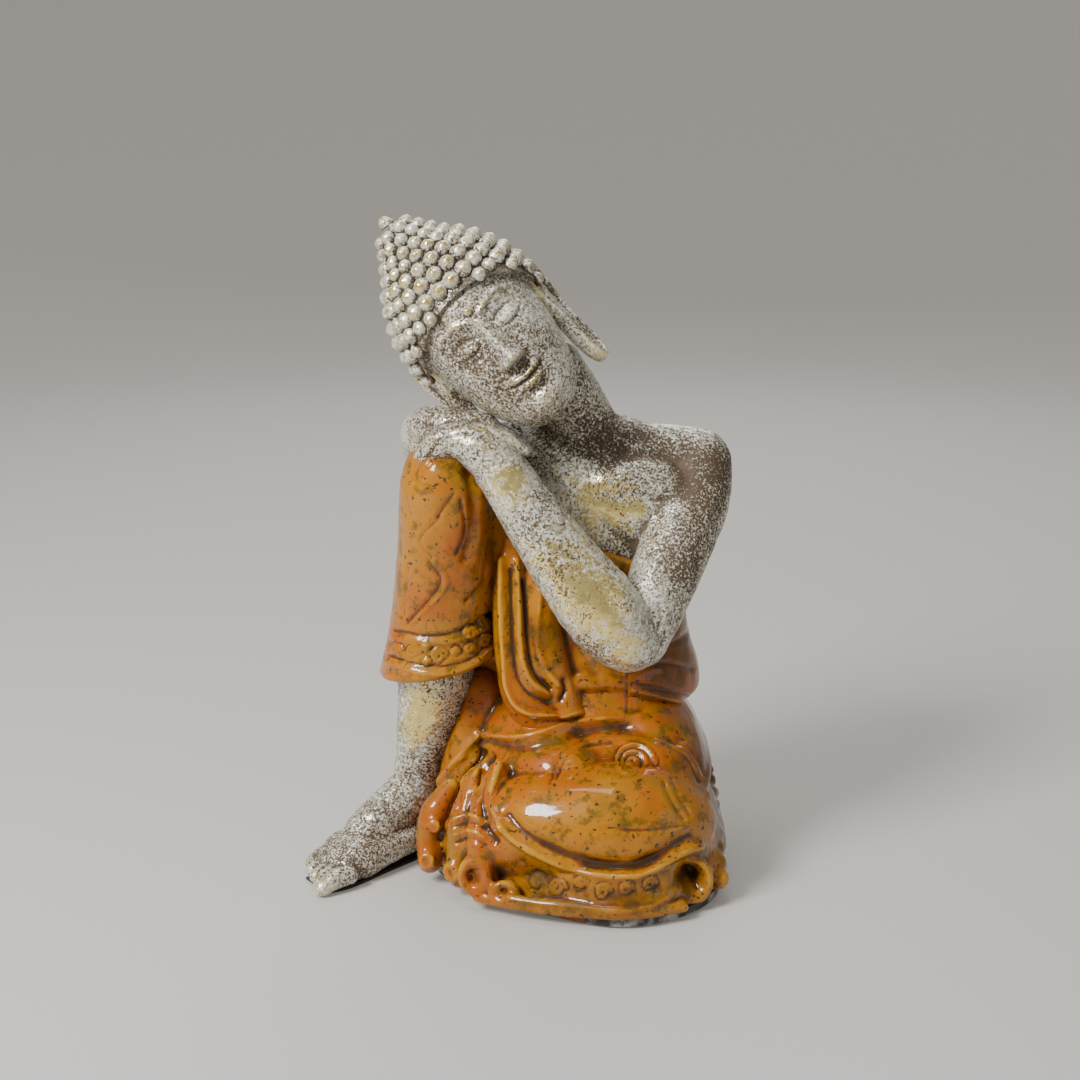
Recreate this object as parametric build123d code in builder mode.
"""Resting devotional figure: a hollow cast-brass statue put together from separately cast sections.

The figure sits with its left leg folded flat and its right knee raised. Both hands lie on that knee and
the head is laid on the hands. Each section is a shell or a small solid casting, located by dowels and
brazed, and a plate screwed under the robe closes the hollow.

Millimetres. +Z is up, the figure faces -Y and its own left side is +X. The origin is on the ground,
under the middle of the overall box.
"""

import os
from math import cos, floor, pi, radians, sin, sqrt

from build123d import *

# ---------------------------------------------------------------- driving dimensions
WALL = 3.2  # thickness of the hollow castings
FELT = 1.0  # felt under the plate and under the foot
PLATE = 3.0  # base plate thickness
PLATE_TOP = FELT + PLATE  # the robe castings stand here
SEAM_Z = 72.0  # level joint between the seat and the waist of the robe
HEM_TOP = 17.0  # upper edge of the hem band
CURL_OUTSIDE = 8.5  # radius of the hem's rolled corner
CURL_LENGTH = 18.0
HEM_THICK = 2.5  # how far the hem band stands off the seat

BASE_CENTRE = Vector(23, 2)
BASE_RADII = (57, 59, 58, 60, 60, 57, 50, 51, 64, 63)  # every 36 degrees from +X
WAIST_CENTRE = Vector(29, 24)
WAIST_RADIUS = 32.5

HEAD_CENTRE = Vector(-7, -4, 208)
HEAD_TILT = 42.0  # towards the figure's right shoulder
HEAD_TURN = 8.0  # towards the figure's left

SCREW_R = 1.7
SCREW_HEAD_R = 3.4
SCREW_LENGTH = 14.0
SCREW_BOTTOM = FELT + 0.2  # the heads sit just under the felt
BOSS_R = 5.0
BOSS_TOP = 20.0
SCREW_PLACES = ((-13, 30), (50, 46), (70, 8), (-14, 2))

DOWEL_R = 2.5
DOWEL_LENGTH = 14.0

CURL_R = 3.0  # foot of one snail-shell curl
CURL_PITCH = 6.4  # from one curl to the next, along a row and between rows

# The castings' centre lines, each with a radius at every point.
LEFT_SHIN = (
    [(72, -18, 21), (67, -23, 25), (55, -28, 27), (34, -32, 26), (10, -30, 23), (-8, -25, 19), (-17, -20, 15)],
    [6, 16, 24, 25, 21, 15, 7],
)
LEFT_THIGH = ([(43, 28, 38), (48, 8, 38), (53, -12, 35), (56, -24, 30)], [26, 27, 25, 18])
RIGHT_CALF = (
    [(-23, -5, 171), (-23, -6, 166), (-24, -6, 156), (-25, -2, 128), (-27, 1, 100), (-29, 3, 80)],
    [6, 12, 17, 18, 18.5, 20],
)
RIGHT_THIGH = (
    [(-22, -2, 158), (-16, 8, 132), (-8, 18, 102), (2, 26, 74), (11, 30, 50)],
    [14, 17.5, 20, 22, 20],
)
RIGHT_SHIN = (
    [(-29, 4, 94), (-30, 5, 76), (-33, 8, 56), (-37, 12, 36), (-38, 14, 24), (-37, 15, 14)],
    [13.5, 14.5, 12.5, 9.5, 9.5, 9],
)
LEFT_UPPER_ARM = (
    [(69, 20, 164), (69, 19, 156), (66, 10, 142), (59, -4, 124), (51, -17, 107), (45, -25, 97), (42, -28, 91)],
    [6, 13, 14, 13.5, 12.5, 12, 7],
)
LEFT_FOREARM = (
    [(45, -28, 89), (41, -29, 97), (30, -28, 112), (12, -25, 136), (-3, -21, 157), (-9, -18, 166)],
    [7, 12.5, 15, 12.5, 10, 9.5],
)
RIGHT_UPPER_ARM = (
    [(-5, 22, 164), (-6, 22, 156), (-11, 26, 142), (-18, 33, 126), (-23, 37, 114)],
    [6, 12.5, 12.5, 12, 8],
)
RIGHT_FOREARM = (
    [(-22, 38, 112), (-24, 34, 122), (-28, 24, 142), (-33, 13, 160), (-35, 7, 168)],
    [7, 11.5, 11, 9.5, 8.5],
)
NECK = ([(27, 19, 160), (24, 16, 170), (19, 12, 180), (13, 8, 190)], [15, 13.5, 12.5, 12.5])

# Level cross-sections of the trunk: height, centre x, centre y, half width, half depth.
ROBE_LEVELS = (
    (SEAM_Z, 29, 24, 36, 31),
    (88, 29, 24, 35, 30),
    (104, 29.5, 23.5, 35.5, 29),
    (118, 30, 23, 37, 29),
    (136, 30.5, 22.5, 39.5, 29),
)
TORSO_LEVELS = (
    (92, 29, 24, 29, 23),
    (104, 29.5, 23.5, 30.5, 24),
    (118, 30, 23, 33, 25),
    (132, 30.5, 22, 37, 25.5),
    (144, 31, 20.5, 41, 24),
    (154, 31, 19.5, 45, 20),
    (162, 31, 19.5, 38, 17),
    (168, 30, 19, 24, 14.5),
    (172, 29, 19, 15, 12),
)
# The seat's outlines: height, and how far each has come from the hem's outline to the waist's.
SEAT_LEVELS = ((PLATE_TOP, 0.0), (HEM_TOP, 0.05), (32, 0.24), (46, 0.52), (60, 0.84), (SEAM_Z, 0.94))
ROBE_EDGE = Plane(origin=(30, 22, 117), z_dir=(0.33, 0.04, 1))  # slanting upper edge of the robe
SPIGOT_DEPTH = 9.0  # how far the torso reaches down inside the robe

# Cross-sections of the head in its own axes: height, centre y, half width, half depth.
FACE_LEVELS = (
    (-37, -11, 6, 5),
    (-33, -10, 11, 10),
    (-26, -8, 16, 15),
    (-16, -4, 20, 19.5),
    (-5, 0, 22.5, 23.5),
    (7, 3, 23.5, 26),
    (18, 4, 22.5, 25),
    (27, 5, 18, 19.5),
    (32, 5, 10, 11),
)
HAIR_LEVELS = (
    (-22, 6, 21.5, 22),
    (-8, 4, 25.2, 26.8),
    (6, 4, 26.8, 29),
    (17, 4.5, 26, 28.2),
    (26, 5, 22, 24),
    (33, 5.5, 16.5, 18),
    (40, 6, 12.5, 13),
    (47, 6, 9, 9),
    (53, 6, 5.5, 5.5),
)
BUD_LEVELS = ((53, 6, 4, 4), (56.5, 6, 1.5, 1.5))  # the small bud that ends the crown knot
HAIRLINE_FRONT = Vector(0, -22, 19)  # in the head's own axes
HAIRLINE_RISE = 0.8  # how steeply the hairline climbs from nape to forehead


# ---------------------------------------------------------------- shared shapes
def turned_head_plane():
    """The head's own axes: +Z to the crown, -Y out of the face, +X to its left ear."""
    tilt, turn = radians(HEAD_TILT), radians(HEAD_TURN)
    left = (cos(tilt) * cos(turn), sin(turn), sin(tilt) * cos(turn))
    return Plane(origin=HEAD_CENTRE, x_dir=left, z_dir=(-sin(tilt), 0, cos(tilt)))


HEAD = turned_head_plane()


def head_point(x, y, z):
    """A point given in the head's own axes."""
    return HEAD.from_local_coords(Vector(x, y, z))


def head_plane(origin, facing):
    """A plane given in the head's own axes."""
    start = HEAD.from_local_coords(Vector(origin))
    return Plane(origin=start, z_dir=HEAD.from_local_coords(Vector(origin) + Vector(facing)) - start)


def ring(centre, facing, half_width, half_depth, across=(1, 0, 0)):
    """An elliptical cross-section square to `facing`, its half width along `across`."""
    with BuildSketch(Plane(origin=centre, x_dir=across, z_dir=facing)) as outline:
        Ellipse(half_width, half_depth)
    return outline.sketch


def limb(line, thinner=0.0, flatness=1.0, across=(1, 0, 0)):
    """Cross-sections along a limb's centre line, each square to the line there."""
    points, radii = [Vector(point) for point in line[0]], line[1]
    last = len(points) - 1
    rings = []
    for i, centre in enumerate(points):
        facing = points[min(i + 1, last)] - points[max(i - 1, 0)]
        radius = radii[i] - thinner
        rings.append(ring(centre, facing, radius, radius * flatness, across))
    return rings


def hollow(line, skipped_ends=1):
    """Cross-sections of the cavity inside a limb, one wall in, leaving its ends closed."""
    points, radii = line
    inner = slice(skipped_ends, len(points) - skipped_ends)
    return limb((points[inner], radii[inner]), thinner=WALL)


def level_rings(levels, thinner=0.0):
    """Level cross-sections of the trunk."""
    return [ring((x, y, z), (0, 0, 1), w - thinner, d - thinner) for z, x, y, w, d in levels]


def head_rings(levels, thinner=0.0):
    """Cross-sections of the head, square to its own height."""
    facing, across = HEAD.z_dir, HEAD.x_dir
    return [ring(head_point(0, y, z), facing, w - thinner, d - thinner, across) for z, y, w, d in levels]


def robe_outline(height, towards_waist=0.0, inset=0.0):
    """The robe's level outline: a smooth loop through polar points, blended from hem to waist."""
    centre = BASE_CENTRE + (WAIST_CENTRE - BASE_CENTRE) * towards_waist
    step = 2 * pi / len(BASE_RADII)
    points = []
    for i, base_radius in enumerate(BASE_RADII):
        radius = base_radius + (WAIST_RADIUS - base_radius) * towards_waist - inset
        points.append((centre.X + radius * cos(i * step), centre.Y + radius * sin(i * step)))
    with BuildSketch(Plane.XY.offset(height)) as outline:
        with BuildLine():
            Spline(*points, periodic=True)
        make_face()
    return outline.sketch


def seat_outlines(inset=0.0):
    """The seat's outlines from the plate to the waist joint."""
    return [robe_outline(height, share, inset + HEM_THICK) for height, share in SEAT_LEVELS]


def cut_by(*pieces):
    """Takes the room of other pieces out of the piece being built."""
    for piece in pieces:
        add(piece.part, mode=Mode.SUBTRACT)


def keep_main_solid():
    """Drops the slivers that cutting leaves beside the one real solid."""
    add(solids().sort_by(SortBy.VOLUME)[-1], mode=Mode.REPLACE)


def trim_below(height):
    """Cuts the piece off level at `height` and keeps what is above."""
    split(bisect_by=Plane.XY.offset(height), keep=Keep.TOP)


def dowel_plane(start, end):
    """A plane half way along a joint, facing along it."""
    a, b = Vector(start), Vector(end)
    return Plane(origin=(a + b) * 0.5, z_dir=b - a)


# ---------------------------------------------------------------- dowels and screws
NECK_SEAT = dowel_plane((27, 19, 160), (26, 18, 168))
CHIN_SEAT = dowel_plane((15, 10, 187), (11, 7, 192))

with BuildPart(NECK_SEAT) as neck_dowel:
    Cylinder(DOWEL_R, DOWEL_LENGTH)

with BuildPart(CHIN_SEAT) as head_dowel:
    Cylinder(DOWEL_R, DOWEL_LENGTH)

with BuildPart(
    dowel_plane((60, 19, 153), (68, 18, 152)), dowel_plane((-2, 21, 154), (-10, 22, 152))
) as shoulder_dowels:
    Cylinder(DOWEL_R, DOWEL_LENGTH)

with BuildPart(
    dowel_plane((-4, -20, 159), (-11, -18, 168)), dowel_plane((-34, 10, 164), (-34, 4, 172))
) as wrist_dowels:
    Cylinder(DOWEL_R, DOWEL_LENGTH)

with BuildPart(dowel_plane((-38, 14, 24), (-37, 15, 10))) as ankle_dowel:
    Cylinder(DOWEL_R, DOWEL_LENGTH)

with BuildPart() as one_screw:
    with BuildSketch(Plane.XZ):
        with BuildLine():
            Polyline(
                (0, SCREW_BOTTOM),
                (SCREW_HEAD_R, SCREW_BOTTOM),
                (SCREW_R, SCREW_BOTTOM + SCREW_HEAD_R - SCREW_R),
                (SCREW_R, SCREW_BOTTOM + SCREW_LENGTH - SCREW_R),
                (0, SCREW_BOTTOM + SCREW_LENGTH),
                close=True,
            )
        make_face()
    revolve(axis=Axis.Z)
with BuildPart() as base_screws:
    for place in SCREW_PLACES:
        add(one_screw.part.moved(Location((*place, 0))))

# ---------------------------------------------------------------- outer forms that several pieces share
with BuildPart() as left_leg_form:
    loft(limb(LEFT_SHIN))
    loft(limb(LEFT_THIGH))
    trim_below(PLATE_TOP)

with BuildPart() as right_leg_form:
    loft(limb(RIGHT_CALF))
    loft(limb(RIGHT_THIGH))

with BuildPart() as seat_form:
    loft(seat_outlines())

with BuildPart() as robe_form:
    loft(level_rings(ROBE_LEVELS))
    split(bisect_by=ROBE_EDGE, keep=Keep.BOTTOM)

with BuildPart() as torso_form:
    loft(level_rings(TORSO_LEVELS))

with BuildPart() as face_form:
    loft(head_rings(FACE_LEVELS))

# ---------------------------------------------------------------- base
with BuildPart() as base_plate:
    add(robe_outline(FELT, inset=0.8))
    extrude(amount=PLATE)
    cut_by(base_screws)

with BuildPart() as base_felt:
    add(robe_outline(0, inset=4))
    extrude(amount=FELT)

# ---------------------------------------------------------------- robe castings of the lower body
with BuildPart() as right_shin:
    loft(limb(RIGHT_SHIN))
    cut_by(ankle_dowel)

with BuildPart() as left_leg_drape:
    add(left_leg_form.part)
    loft(hollow(LEFT_SHIN), mode=Mode.SUBTRACT)
    loft(limb((LEFT_THIGH[0][:-1], LEFT_THIGH[1][:-1]), thinner=WALL), mode=Mode.SUBTRACT)

with BuildPart() as right_leg_drape:
    add(right_leg_form.part)
    loft(limb((RIGHT_CALF[0][2:5], RIGHT_CALF[1][2:5]), thinner=WALL), mode=Mode.SUBTRACT)
    loft(limb((RIGHT_THIGH[0][1:], RIGHT_THIGH[1][1:]), thinner=WALL), mode=Mode.SUBTRACT)
    cut_by(right_shin, left_leg_form)
    keep_main_solid()

with BuildPart() as seat_shell:
    add(seat_form.part)
    loft(seat_outlines(inset=WALL), mode=Mode.SUBTRACT)
    with BuildSketch(Plane.XY.offset(PLATE_TOP)):
        with Locations(*SCREW_PLACES):
            Circle(BOSS_R)
    extrude(amount=BOSS_TOP - PLATE_TOP)
    cut_by(left_leg_form, right_leg_form, base_screws, right_shin)
    keep_main_solid()

with BuildPart() as hem_band:
    loft([robe_outline(height, share) for height, share in SEAT_LEVELS[:2]])
    cut_by(seat_form, left_leg_form, right_shin)
    keep_main_solid()

# ---------------------------------------------------------------- robe castings of the trunk
with BuildPart() as torso_shell:
    add(torso_form.part)
    loft(level_rings(TORSO_LEVELS[:-2], thinner=WALL), mode=Mode.SUBTRACT)
    split(bisect_by=ROBE_EDGE.offset(-SPIGOT_DEPTH), keep=Keep.TOP)
    cut_by(neck_dowel, shoulder_dowels, right_leg_form)
    keep_main_solid()

with BuildPart() as robe_wrap:
    add(robe_form.part)
    loft(level_rings(ROBE_LEVELS, thinner=WALL), mode=Mode.SUBTRACT)
    cut_by(right_leg_form)
    keep_main_solid()

SASH_TILT = Plane(origin=(29, 24, 77), x_dir=(1, 0, 0.06), z_dir=(-0.06, 0.1, 1))
with BuildPart() as waist_sash:
    sash_path = ring(SASH_TILT.origin, SASH_TILT.z_dir, 34.5, 29.5, SASH_TILT.x_dir).face().outer_wire()
    with BuildSketch(Plane(origin=sash_path @ 0, z_dir=sash_path % 0)):
        Circle(5)
    sweep(path=sash_path)
    cut_by(robe_form, seat_form, right_leg_form, left_leg_form)
    keep_main_solid()

# ---------------------------------------------------------------- draped folds
with BuildPart() as front_pleats:
    loft(
        [
            ring((-3, -2, 136), (0, 0, 1), 5, 6),
            ring((-2, -5, 112), (0, 0, 1), 9, 7),
            ring((2, -7, 90), (0, 0, 1), 14, 8),
            ring((9, -7, 72), (0, 0, 1), 19, 8),
        ]
    )
    cut_by(robe_form, torso_form, right_leg_form, left_leg_form, seat_form, waist_sash)
    keep_main_solid()

with BuildPart() as hem_pleats:
    loft(
        [
            ring((-4, -28, 44), (0, 0.2, 1), 5, 9),
            ring((-5, -34, 28), (0, 0.2, 1), 11, 11),
            ring((-5, -36, 14), (0, 0, 1), 15, 12),
            ring((-4, -37, PLATE_TOP), (0, 0, 1), 17, 13),
        ]
    )
    cut_by(left_leg_form, seat_form, hem_band)
    keep_main_solid()

with BuildPart() as robe_knot:
    loft(limb(([(-24, -11, 34), (-25, -13, 26), (-26, -15, 16), (-27, -16, 6)], [3, 6.5, 7.5, 5])))
    cut_by(left_leg_form, seat_form, hem_band, hem_pleats, right_shin)
    trim_below(PLATE_TOP)
    keep_main_solid()

with BuildPart() as hem_curl:
    with Locations(Plane(origin=(66, -36, 12), z_dir=(0.35, -1, 0))):
        Cylinder(CURL_OUTSIDE, CURL_LENGTH)
        Cylinder(CURL_OUTSIDE - WALL, CURL_LENGTH, mode=Mode.SUBTRACT)
    trim_below(PLATE_TOP)
    cut_by(left_leg_form, seat_form, hem_band)
    keep_main_solid()

with BuildPart() as leg_cuff:
    loft(
        [
            ring((-28, 2, 98), (0.1, -0.1, 1), 20.5, 20.5),
            ring((-29, 3, 83), (0.1, -0.1, 1), 23.5, 23.5),
        ]
    )
    cut_by(right_leg_form, right_shin, seat_form, robe_form, waist_sash, front_pleats)
    keep_main_solid()

# ---------------------------------------------------------------- foot
FOOT_LINE = [(-33, 25, 8), (-36, 17, 12), (-45, 5, 12), (-57, -6, 8.5), (-67.5, -16, 5.5), (-75, -21.5, 3)]
FOOT_HALF_WIDTHS = [5, 9, 9.5, 11, 12, 9]
FOOT_HALF_HEIGHTS = [9, 13.5, 14, 10.5, 7, 4.5]
with BuildPart() as right_foot:
    foot_ways = [Vector(point) for point in FOOT_LINE]
    foot_rings = []
    for i, heel_to_toe in enumerate(foot_ways):
        facing = foot_ways[min(i + 1, 5)] - foot_ways[max(i - 1, 0)]
        sideways = facing.cross(Vector(0, 0, 1))
        foot_rings.append(
            ring(heel_to_toe, facing, FOOT_HALF_WIDTHS[i], FOOT_HALF_HEIGHTS[i], sideways)
        )
    loft(foot_rings)
    trim_below(FELT)
    cut_by(right_shin, ankle_dowel, seat_form, hem_band, base_plate, robe_knot)
    keep_main_solid()

with BuildPart() as foot_felt:
    add(right_foot.faces().sort_by(Axis.Z)[0])
    extrude(amount=FELT, dir=(0, 0, -1))

# ---------------------------------------------------------------- neck and head
with BuildPart() as neck:
    loft(limb(NECK))
    cut_by(torso_form, face_form, neck_dowel, head_dowel)
    keep_main_solid()

with BuildPart() as head_shell:
    add(face_form.part)
    loft(head_rings(FACE_LEVELS[2:-1], thinner=WALL), mode=Mode.SUBTRACT)
    cut_by(head_dowel)
    keep_main_solid()

HAIRLINE = head_plane(HAIRLINE_FRONT, (0, HAIRLINE_RISE, 1))
with BuildPart() as hair_form:
    loft(head_rings(HAIR_LEVELS), ruled=True)
    split(bisect_by=HAIRLINE, keep=Keep.TOP)

with BuildPart() as hair_cap:
    add(hair_form.part)
    cut_by(face_form, neck)
    keep_main_solid()

with BuildPart() as ushnisha_tip:
    loft(head_rings(BUD_LEVELS))

with BuildPart() as urna:
    with Locations(head_point(0, -23, 11)):
        Sphere(2)
    cut_by(face_form)
    keep_main_solid()


EAR_X, EAR_Y, EAR_Z = 23.2, 3, -4  # the ear's middle, in the head's own axes
EAR_CLEAR = 13  # no curls this near the ear, front or back
EAR_THICK = 4


def hair_radius(height):
    """Half width, half depth and centre of the hair at a height in the head's axes."""
    for low, high in zip(HAIR_LEVELS, HAIR_LEVELS[1:]):
        if low[0] <= height <= high[0]:
            share = (height - low[0]) / (high[0] - low[0])
            return [a + (b - a) * share for a, b in zip(low[1:], high[1:])]
    raise ValueError("height is off the hair")


def curl_places():
    """One place for each curl, standing on the hair in level rows like courses of brick."""
    places = []
    height, row = HAIR_LEVELS[0][0] + 2.0, 0
    while height < HAIR_LEVELS[-1][0] - 3:
        centre_y, wide, deep = hair_radius(height)
        above = hair_radius(min(height + 1.0, HAIR_LEVELS[-1][0]))
        lean = wide - above[1]
        count = floor(2 * pi * sqrt((wide**2 + deep**2) / 2) / CURL_PITCH)
        for i in range(count):
            angle = 2 * pi * (i + 0.5 * (row % 2)) / count
            x, y = wide * cos(angle), centre_y + deep * sin(angle)
            over_hairline = height - HAIRLINE_FRONT.Z + HAIRLINE_RISE * (y - HAIRLINE_FRONT.Y)
            by_ear = abs(x) > EAR_X - 3 and abs(y - EAR_Y) < EAR_CLEAR
            if over_hairline > CURL_R and not by_ear:
                outward = Vector(cos(angle) / wide, sin(angle) / deep, 0).normalized() + Vector(0, 0, lean)
                places.append(head_plane((x, y, height), outward).location)
        height += CURL_PITCH / sqrt(1 + lean**2)
        row += 1
    return places


with BuildPart() as hair_curls:
    with Locations(*curl_places()):
        Sphere(CURL_R, arc_size1=0)

EAR_OUTLINE = [(-2, 14), (4, 16), (8, 10), (6, 0), (3, -10), (2.5, -20), (-1, -25), (-3.5, -19), (-3, -6), (-5, 4)]


def ear(side):
    """A long-lobed ear: a flat plate standing off the side of the head. `side` is +1 on the left."""
    plate = head_plane((side * EAR_X, EAR_Y, EAR_Z), (side, 0.25, 0))
    plate = Plane(origin=plate.origin, x_dir=HEAD.y_dir, z_dir=plate.z_dir)
    if side > 0:
        points = EAR_OUTLINE
    else:
        points = [(x, -z) for x, z in EAR_OUTLINE]
    with BuildPart() as one_ear:
        with BuildSketch(plate) as outline:
            with BuildLine():
                Spline(*points, periodic=True)
            make_face()
        extrude(outline.sketch, amount=EAR_THICK)
    return one_ear


with BuildPart() as left_ear:
    add(ear(1).part)
    cut_by(face_form, hair_form, neck)
    keep_main_solid()

with BuildPart() as right_ear:
    add(ear(-1).part)
    cut_by(face_form, hair_form, neck)
    keep_main_solid()

# ---------------------------------------------------------------- arms and hands
with BuildPart() as left_upper_arm:
    loft(limb(LEFT_UPPER_ARM))
    cut_by(torso_form, robe_form, shoulder_dowels)
    keep_main_solid()

with BuildPart() as left_forearm:
    loft(limb(LEFT_FOREARM))
    cut_by(left_upper_arm, torso_form, robe_form, right_leg_form, wrist_dowels, front_pleats)
    keep_main_solid()

with BuildPart() as left_hand:
    loft(
        [
            ring((-8, -19, 165), (-1, 0.2, 1), 7.5, 9.5),
            ring((-17, -17, 172), (-1, 0.2, 0.4), 11, 6.5, (0, 1, 0)),
            ring((-28, -14, 174), (-1, 0.2, -0.1), 11, 5.5, (0, 1, 0)),
            ring((-37, -11, 169), (-1, 0.2, -1), 9, 4.5, (0, 1, 0)),
            ring((-43, -9, 160), (-0.4, 0.2, -1), 6, 3, (0, 1, 0)),
        ]
    )
    cut_by(right_leg_form, left_forearm, wrist_dowels, face_form)
    keep_main_solid()

with BuildPart() as right_upper_arm:
    loft(limb(RIGHT_UPPER_ARM))
    cut_by(torso_form, robe_form, right_leg_form, shoulder_dowels)
    keep_main_solid()

with BuildPart() as right_forearm:
    loft(limb(RIGHT_FOREARM))
    cut_by(right_upper_arm, right_leg_form, robe_form, torso_form, wrist_dowels)
    keep_main_solid()

with BuildPart() as right_hand:
    loft(
        [
            ring((-35, 7, 168), (0, -0.6, 1), 8.5, 8),
            ring((-32, -2, 177), (0.5, -1, 0.5), 9, 6),
            ring((-20, -9, 182), (1, -0.5, 0), 10, 4.5, (0, 1, 0)),
            ring((-6, -13, 179), (1, -0.3, -0.5), 9, 4, (0, 1, 0)),
            ring((5, -15, 171), (0.8, -0.1, -1), 6, 3, (0, 1, 0)),
        ]
    )
    cut_by(right_leg_form, left_hand, left_forearm, right_forearm, wrist_dowels)
    cut_by(face_form, hair_form, right_ear, neck, torso_form)
    keep_main_solid()

# ---------------------------------------------------------------- write the pieces
PIECES = {
    "base_plate": base_plate,
    "base_felt": base_felt,
    "foot_felt": foot_felt,
    "base_screws": base_screws,
    "seat_shell": seat_shell,
    "hem_band": hem_band,
    "hem_pleats": hem_pleats,
    "hem_curl": hem_curl,
    "robe_knot": robe_knot,
    "left_leg_drape": left_leg_drape,
    "right_leg_drape": right_leg_drape,
    "leg_cuff": leg_cuff,
    "right_shin": right_shin,
    "right_foot": right_foot,
    "robe_wrap": robe_wrap,
    "waist_sash": waist_sash,
    "front_pleats": front_pleats,
    "torso_shell": torso_shell,
    "neck": neck,
    "head_shell": head_shell,
    "hair_cap": hair_cap,
    "hair_curls": hair_curls,
    "ushnisha_tip": ushnisha_tip,
    "urna": urna,
    "left_ear": left_ear,
    "right_ear": right_ear,
    "left_upper_arm": left_upper_arm,
    "left_forearm": left_forearm,
    "left_hand": left_hand,
    "right_upper_arm": right_upper_arm,
    "right_forearm": right_forearm,
    "right_hand": right_hand,
    "neck_dowel": neck_dowel,
    "head_dowel": head_dowel,
    "shoulder_dowels": shoulder_dowels,
    "wrist_dowels": wrist_dowels,
    "ankle_dowel": ankle_dowel,
}

os.makedirs("parts", exist_ok=True)
for label, piece in PIECES.items():
    piece.part.label = label
    export_step(piece.part, f"parts/{label}.step")
